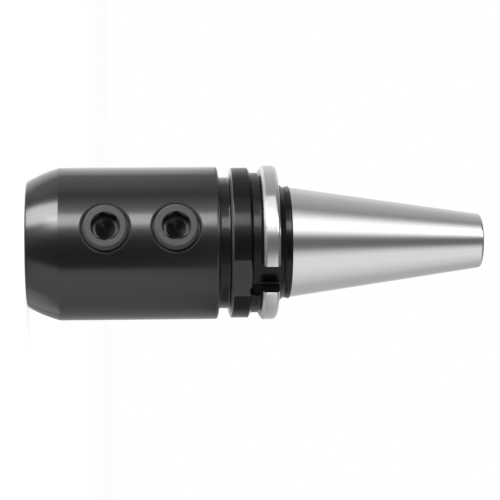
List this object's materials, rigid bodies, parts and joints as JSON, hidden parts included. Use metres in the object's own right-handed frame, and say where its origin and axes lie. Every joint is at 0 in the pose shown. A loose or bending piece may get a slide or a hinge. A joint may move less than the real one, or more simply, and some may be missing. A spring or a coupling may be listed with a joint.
{
  "type": "side lock end mill holder",
  "caption": "Side lock end mill holder: round body with two clamp screws, grooved flange with drive slots and a 7:24 machine taper.",
  "frame": {"origin": "centre of the nose face, on the tool axis, where the shank enters", "axes": "+Z along the tool axis from the nose towards the taper and the pull stud thread; -Y is the side that the clamp screws come in from"},
  "size_m": [0.0622, 0.0641, 0.1837],
  "materials": {
    "holder_steel": "blackened body and front flange ring, ground bright taper and rear flange ring",
    "screw_steel": "dark phosphated, matt"
  },
  "bodies": {
    "holder": {"holder_body": "holder_steel"},
    "front_screw": {"front_clamp_screw": "screw_steel"},
    "rear_screw": {"rear_clamp_screw": "screw_steel"},
    "stop_screw": {"axial_stop_screw": "screw_steel"}
  },
  "joints": [
    {"name": "front_screw_feed", "type": "slide", "parent": "holder", "child": "front_screw", "axis": [0, 1, 0], "range_m": [-0.0178, 0.0025]},
    {"name": "rear_screw_feed", "type": "slide", "parent": "holder", "child": "rear_screw", "axis": [0, 1, 0], "range_m": [-0.0178, 0.0025]},
    {"name": "stop_screw_feed", "type": "slide", "parent": "holder", "child": "stop_screw", "axis": [0, 0, 1], "range_m": [-0.006, 0.007]}
  ]
}
